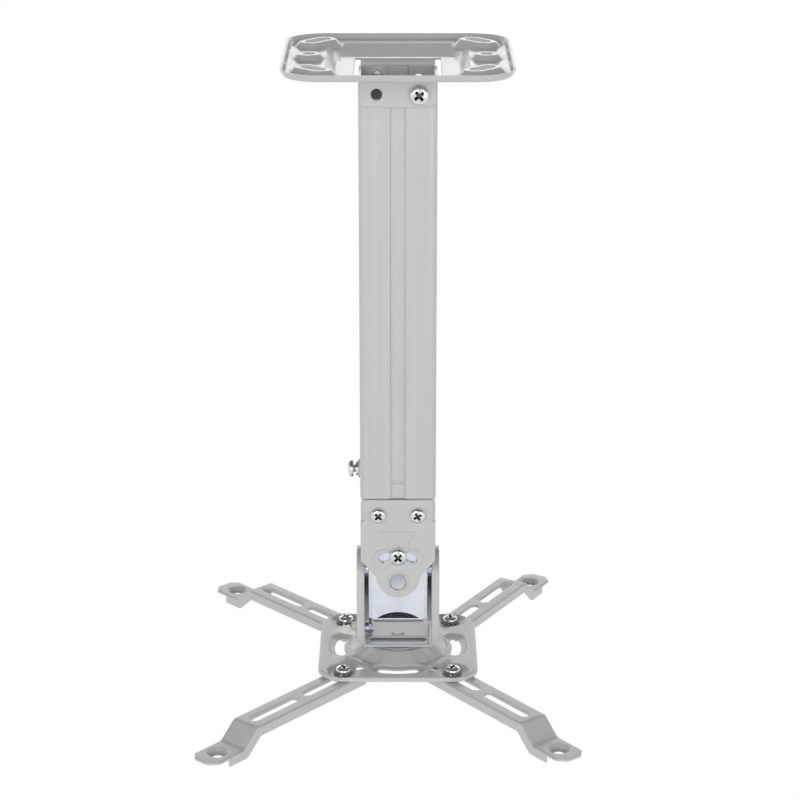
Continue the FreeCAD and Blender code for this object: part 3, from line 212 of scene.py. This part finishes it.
def evaluated(piece):
    bpy.context.view_layer.update()
    return bpy.data.meshes.new_from_object(piece.evaluated_get(bpy.context.evaluated_depsgraph_get()))


def smoothFaces(bm):
    for face in bm.faces:
        face.smooth = True


channel = {"corner": (32.8 * mm, 37.8 * mm), "inner": (15.0 * mm, 20.0 * mm), "half": 3.4 * mm,
           "slope": 4.0 * mm, "depth": 1.35 * mm, "clear": 6.5 * mm, "fade": 4.0 * mm}


def ease(share):
    share = min(1.0, max(0.0, share))
    return share * share * (3 - 2 * share)


def channelDepth(spot):
    # a valley from the dome's foot through each small hole into the corner's recess
    corner, inner = Vector(channel["corner"]), Vector(channel["inner"])
    here = Vector((abs(spot.x), abs(spot.y)))
    run = corner - inner
    along = min(1.0, max(0.0, (here - inner).dot(run) / run.length_squared))
    off = (here - inner - run * along).length
    across = ease(1 - (off - channel["half"]) / channel["slope"])
    outside = ease(((here - corner).length - channel["clear"]) / channel["fade"])
    return channel["depth"] * across * outside


pressing = {"weld": 0.002 * mm, "factor": 0.5, "sharp": 60}


def softPressing(node, shape):
    bm = bmesh.new()
    bm.from_mesh(nodes[node].data)
    bmesh.ops.remove_doubles(bm, verts=bm.verts, dist=pressing["weld"])
    rough = meshOf("rough_" + node, bm, materials["coated_steel"])
    remesh = rough.modifiers.new("remesh", "REMESH")
    remesh.mode = "VOXEL"
    remesh.voxel_size = shape["voxel"]
    smooth = rough.modifiers.new("round", "SMOOTH")
    smooth.factor = pressing["factor"]
    smooth.iterations = shape["passes"]
    thin = rough.modifiers.new("thin", "DECIMATE")
    thin.ratio = shape["keep"]
    shaped = evaluated(rough)
    bpy.data.objects.remove(rough)
    bm = bmesh.new()
    bm.from_mesh(shaped)
    smoothFaces(bm)
    if "sink" in shape:
        for vert in bm.verts:
            vert.co.z -= shape["sink"](vert.co)
    piece = meshOf("look_" + node, bm, pressedCoat)
    piece.data.set_sharp_from_angle(angle=math.radians(pressing["sharp"]))
    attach(piece, nodes[node]["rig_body"])
    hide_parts(node)
    return piece


armSheet = {"voxel": 0.34 * mm, "passes": 3, "keep": 0.3}
pressings = {
    "ceiling_plate": {"voxel": 0.55 * mm, "passes": 6, "keep": 0.35},
    "bottom_plate": {"voxel": 0.45 * mm, "passes": 5, "keep": 0.35, "sink": channelDepth},
    "yoke": {"voxel": 0.42 * mm, "passes": 3, "keep": 0.35},
    "arm_front_left": armSheet,
    "arm_front_right": armSheet,
    "arm_rear_left": armSheet,
    "arm_rear_right": armSheet,
}
for node, shape in pressings.items():
    piece = softPressing(node, shape)
    print(node, len(piece.data.polygons), "faces")
print("pressings done")


# revolved and threaded shapes

def spinProfile(points, segments):
    bm = bmesh.new()
    verts = [bm.verts.new((r, 0, z)) for r, z in points]
    edges = [bm.edges.new(pair) for pair in zip(verts, verts[1:])]
    bmesh.ops.spin(bm, geom=verts + edges, cent=(0, 0, 0), axis=(0, 0, 1),
                   angle=2 * math.pi, steps=segments, use_duplicate=False)
    bmesh.ops.remove_doubles(bm, verts=bm.verts, dist=1e-7)
    bmesh.ops.recalc_face_normals(bm, faces=bm.faces)
    return bm


def standAt(seat, outward, spin):
    turn = toTop.rotation_difference(outward).to_matrix().to_4x4()
    return Matrix.Translation(seat) @ turn @ Matrix.Rotation(math.radians(spin), 4, "Z")


# shares of the head's radius or height; the recess narrows from its mouth to its foot; lowest, highest and
# within bound the recess faces that take the painted shade
cross = {"arm": 0.58, "width": 0.16, "depth": 0.68, "above": 1.0 * mm, "mouth": 1.25, "foot": 0.42,
         "fixedWidth": 0.55, "taperedWidth": 0.45, "lowest": 0.05, "highest": 0.86, "within": 0.6}


def crossCutter(radius, height):
    arm, width, depth = radius * cross["arm"], radius * cross["width"], height * cross["depth"]
    levels = ((height + cross["above"], cross["mouth"]), (height, 1.0), (height - depth, cross["foot"]))
    bm = bmesh.new()
    rings = []
    for z, share in levels:
        a, w = arm * share, width * (cross["fixedWidth"] + cross["taperedWidth"] * share)
        corners = [(w, w), (a, w), (a, -w), (w, -w), (w, -a), (-w, -a),
                   (-w, -w), (-a, -w), (-a, w), (-w, w), (-w, a), (w, a)]
        rings.append([bm.verts.new((x, y, z)) for x, y in corners])
    count = len(rings[0])
    for upper, lower in zip(rings, rings[1:]):
        for i in range(count):
            after = (i + 1) % count
            bm.faces.new((upper[i], upper[after], lower[after], lower[i]))
    bm.faces.new(rings[0])
    bm.faces.new(list(reversed(rings[-1])))
    bmesh.ops.recalc_face_normals(bm, faces=bm.faces)
    return bm


thread = {"around": 28, "rowsPerPitch": 6, "depthPerPitch": 0.5}


def threadedShank(radius, length, pitch):
    bm = bmesh.new()
    around = thread["around"]
    rows = max(2, int(length / pitch * thread["rowsPerPitch"])) + 1
    depth = pitch * thread["depthPerPitch"]
    grid = []
    for row in range(rows):
        z = -length * row / (rows - 1)
        ring = []
        for k in range(around):
            phase = (-z / pitch + k / around) % 1.0
            ridge = abs(phase * 2 - 1)
            r = radius - depth * (1 if row == rows - 1 else ridge)
            turn = 2 * math.pi * k / around
            ring.append(bm.verts.new((r * math.cos(turn), r * math.sin(turn), z)))
        grid.append(ring)
    for upper, lower in zip(grid, grid[1:]):
        for k in range(around):
            after = (k + 1) % around
            bm.faces.new((upper[k], lower[k], lower[after], upper[after]))
    bm.faces.new(list(reversed(grid[-1])))
    bm.faces.new(grid[0])
    bmesh.ops.recalc_face_normals(bm, faces=bm.faces)
    return bm


# shares of the head's radius and height, from the flat round the recess down to the seat
panHead = {"rings": 9, "flat": 0.45, "bulge": 0.55, "side": 0.30, "dome": 0.70, "curl": 0.8,
           "rimHeight": 0.10, "seat": 0.97, "segments": 56, "sharp": 32}


def panProfile(radius, height):
    profile = [(0.0, height), (radius * panHead["flat"], height)]
    for step in range(2, panHead["rings"] + 1):
        turn = math.radians(90 * step / panHead["rings"])
        across = panHead["flat"] + panHead["bulge"] * math.sin(turn)
        up = panHead["side"] + panHead["dome"] * math.cos(turn) ** panHead["curl"]
        profile.append((radius * across, height * up))
    profile += [(radius, height * panHead["rimHeight"]), (radius * panHead["seat"], 0.0), (0.0, 0.0)]
    return profile


def panScrew(node, outward, spin, shape):
    low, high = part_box(node)
    size = high - low
    axis = max(range(3), key=lambda i: abs(outward[i]))
    radius = size[0 if axis else 1] / 2
    height = shape["height"]
    seat = (low + high) / 2
    seat[axis] = (high if outward[axis] > 0 else low)[axis] - outward[axis] * height
    head = meshOf("head", spinProfile(panProfile(radius, height), panHead["segments"]),
                  materials["bright_fastener"])
    cutter = meshOf("cutter", crossCutter(radius, height), materials["bright_fastener"])
    cut = head.modifiers.new("recess", "BOOLEAN")
    cut.object = cutter
    cut.operation = "DIFFERENCE"
    cut.solver = "EXACT"
    bm = bmesh.new()
    bm.from_mesh(evaluated(head))
    for spare in (head, cutter):
        bpy.data.objects.remove(spare)
    # faces inside the cross recess take the near-black metal, painted shade in the recess
    for face in bm.faces:
        spot = face.calc_center_median()
        inCross = spot.to_2d().length < cross["within"] * radius
        if inCross and cross["lowest"] * height < spot.z < cross["highest"] * height:
            face.material_index = 1
    shank = threadedShank(shape["thread"] / 2, size[axis] - height, shape["pitch"])
    shankMesh = bpy.data.meshes.new("shank")
    shank.to_mesh(shankMesh)
    shank.free()
    bm.from_mesh(shankMesh)
    bm.transform(standAt(seat, outward, spin))
    smoothFaces(bm)
    piece = meshOf("look_" + node, bm, materials["bright_fastener"])
    piece.data.materials.append(recessShadeMetal)
    piece.data.set_sharp_from_angle(angle=math.radians(panHead["sharp"]))
    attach(piece, nodes[node]["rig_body"])
    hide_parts(node)


washer = {"teeth": 12, "stepsPerTooth": 6, "gapSteps": 2, "bite": 0.80, "twist": 0.22,
          "rim": 0.9, "hole": 2.75 * mm}


def toothedWasher(node, shape):
    low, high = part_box(node)
    outer, half, hole = (high.x - low.x) / 2, (high.z - low.z) / 2, shape["hole"]
    steps = shape["teeth"] * shape["stepsPerTooth"]
    bm = spinProfile([(hole, -half), (outer, -half), (outer, half), (hole, half), (hole, -half)], steps)
    for vert in bm.verts:
        if vert.co.to_2d().length > outer * shape["rim"]:
            step = round(math.atan2(vert.co.y, vert.co.x) / (2 * math.pi) * steps) % shape["stepsPerTooth"]
            if step < shape["gapSteps"]:
                vert.co.x, vert.co.y = vert.co.x * shape["bite"], vert.co.y * shape["bite"]
            else:
                vert.co.z *= 1 - shape["twist"] * (step - shape["gapSteps"])
    bm.transform(Matrix.Translation((low + high) / 2))
    piece = meshOf("look_" + node, bm, washerMetal)
    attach(piece, nodes[node]["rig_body"])
    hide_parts(node)


for node in nodes:
    if node.startswith("arm_washer"):
        toothedWasher(node, washer)
print("washers done")


# the turned faces of the link's bosses: a shallow dish with a rounded rim
pivot = {"radius": 4.8 * mm, "rim": 0.28 * mm, "dish": 0.06 * mm, "under": 0.05 * mm, "height": -315.6 * mm,
         "flat": 0.80, "rimShares": ((0.88, 0.6), (0.93, 1.0), (0.98, 0.7)), "segments": 64}
radius, dish = pivot["radius"], pivot["dish"]
profile = [(0.0, dish), (radius * pivot["flat"], dish)]
profile += [(radius * across, pivot["rim"] * up) for across, up in pivot["rimShares"]]
profile += [(radius, 0.0), (0.0, -pivot["under"])]
low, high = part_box("gimbal_link")
for side, outward, depth in (("front", toFront, low.y), ("rear", toRear, high.y)):
    bm = spinProfile(profile, pivot["segments"])
    bm.transform(standAt(Vector((0, depth, pivot["height"])), outward, 0))
    smoothFaces(bm)
    piece = meshOf("look_pivot_" + side, bm, dullerZincMetal)
    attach(piece, "gimbal")
print("pivot faces done")


smallScrew = {"height": 3.3 * mm, "thread": 5.0 * mm, "pitch": 0.8 * mm}
largeScrew = {"height": 3.9 * mm, "thread": 6.0 * mm, "pitch": 1.0 * mm}
screwsAt = [
    ("bracket_screw_front_left", toFront, 45, smallScrew),
    ("bracket_screw_front_right", toFront, 30, smallScrew),
    ("bracket_screw_rear_left", toRear, 10, smallScrew),
    ("bracket_screw_rear_right", toRear, 62, smallScrew),
    ("roll_lock_screw_front", toFront, 45, smallScrew),
    ("roll_lock_screw_rear", toRear, 20, smallScrew),
    ("arm_screw_front_left", toTop, 20, smallScrew),
    ("arm_screw_front_right", toTop, 64, smallScrew),
    ("arm_screw_rear_left", toTop, 35, smallScrew),
    ("arm_screw_rear_right", toTop, 5, smallScrew),
    ("pole_screw_front", toFront, 38, largeScrew),
    ("pole_screw_rear", toRear, 15, largeScrew),
    ("height_lock_screw", toLeft, 0, smallScrew),
]
for node, outward, spin, shape in screwsAt:
    panScrew(node, outward, spin, shape)
print("screws done", len(screwsAt))


# studio

def areaLight(name, place, aim, size, power):
    data = bpy.data.lights.new(name, "AREA")
    data.shape = "RECTANGLE"
    data.size, data.size_y = size
    data.energy = power
    lamp = bpy.data.objects.new(name, data)
    bpy.context.scene.collection.objects.link(lamp)
    lamp.location = place
    lamp.rotation_euler = (Vector(aim) - Vector(place)).to_track_quat("-Z", "Y").to_euler()


def larger(tree, first, second):
    choice = tree.nodes.new("ShaderNodeMath")
    choice.operation = "MAXIMUM"
    tree.links.new(first, choice.inputs[0])
    tree.links.new(second, choice.inputs[1])
    return choice.outputs["Value"]


# the floor is plain white to the camera and in metal, and a pale matt surface to the light
floorAt = {"z": -0.62, "half": 12.0, "colour": (0.93, 0.93, 0.93), "rough": 0.9, "glow": 1.0}
bm = bmesh.new()
bmesh.ops.create_grid(bm, x_segments=1, y_segments=1, size=floorAt["half"],
                      matrix=Matrix.Translation((0, 0, floorAt["z"])))
material, tree, shader = newMaterial("paleFloor")
shader.inputs["Base Color"].default_value = (*floorAt["colour"], 1)
shader.inputs["Roughness"].default_value = floorAt["rough"]
glow = tree.nodes.new("ShaderNodeEmission")
glow.inputs["Color"].default_value = (1, 1, 1, 1)
glow.inputs["Strength"].default_value = floorAt["glow"]
path = tree.nodes.new("ShaderNodeLightPath")
seen = larger(tree, path.outputs["Is Camera Ray"], path.outputs["Is Glossy Ray"])
seen = larger(tree, seen, path.outputs["Is Transmission Ray"])
mix = tree.nodes.new("ShaderNodeMixShader")
tree.links.new(seen, mix.inputs["Fac"])
tree.links.new(shader.outputs["BSDF"], mix.inputs[1])
tree.links.new(glow.outputs["Emission"], mix.inputs[2])
tree.links.new(mix.outputs["Shader"], tree.nodes["Material Output"].inputs["Surface"])
floor = meshOf("floor", bm, material)

# a bright horizon under a dim ceiling, as in a light tent that is open at the top
sky = {"strength": 1.0, "levels": ((0.0, 0.62), (0.46, 1.0), (0.55, 1.02), (0.62, 1.04),
                                   (0.71, 0.56), (0.84, 0.20), (1.0, 0.12))}
world = bpy.data.worlds.new("studio")
bpy.context.scene.world = world
world.use_nodes = True
tree = world.node_tree
background = tree.nodes["Background"]
background.inputs["Strength"].default_value = sky["strength"]
place = tree.nodes.new("ShaderNodeTexCoord")
split = tree.nodes.new("ShaderNodeSeparateXYZ")
height = tree.nodes.new("ShaderNodeMapRange")
height.inputs["From Min"].default_value = -1.0
ramp = tree.nodes.new("ShaderNodeValToRGB")
tree.links.new(place.outputs["Generated"], split.inputs["Vector"])
tree.links.new(split.outputs["Z"], height.inputs["Value"])
tree.links.new(height.outputs["Result"], ramp.inputs["Fac"])
tree.links.new(ramp.outputs["Color"], background.inputs["Color"])
tree.links.new(background.outputs["Background"], tree.nodes["World Output"].inputs["Surface"])
stops = ramp.color_ramp.elements
for index, (at, level) in enumerate(sky["levels"]):
    stop = stops[index] if index < 2 else stops.new(at)
    stop.position = at
    stop.color = (level, level, level, 1)

middle = (0, 0, -0.2)
areaLight("keyLight", place=(-0.75, -2.3, 0.5), aim=middle, size=(1.3, 1.4), power=15)
areaLight("fillLight", place=(1.0, -2.1, 0.0), aim=middle, size=(1.1, 1.6), power=9)
areaLight("backPanel", place=(0.0, 3.0, 1.05), aim=(0, 0, -0.15), size=(4.2, 1.1), power=12.5)

view = {"place": (0.0012, -1.387, 0.258), "down": 18.56, "lens": 110.66, "sensor": 36.0, "near": 0.05}
data = bpy.data.cameras.new("photoCamera")
data.lens = view["lens"]
data.sensor_width = view["sensor"]
data.clip_start = view["near"]
camera = bpy.data.objects.new("photoCamera", data)
bpy.context.scene.collection.objects.link(camera)
camera.location = view["place"]
camera.rotation_euler = (math.radians(90 - view["down"]), 0, 0)
bpy.context.scene.camera = camera
bpy.context.scene.view_settings.view_transform = "Standard"
print("studio done")
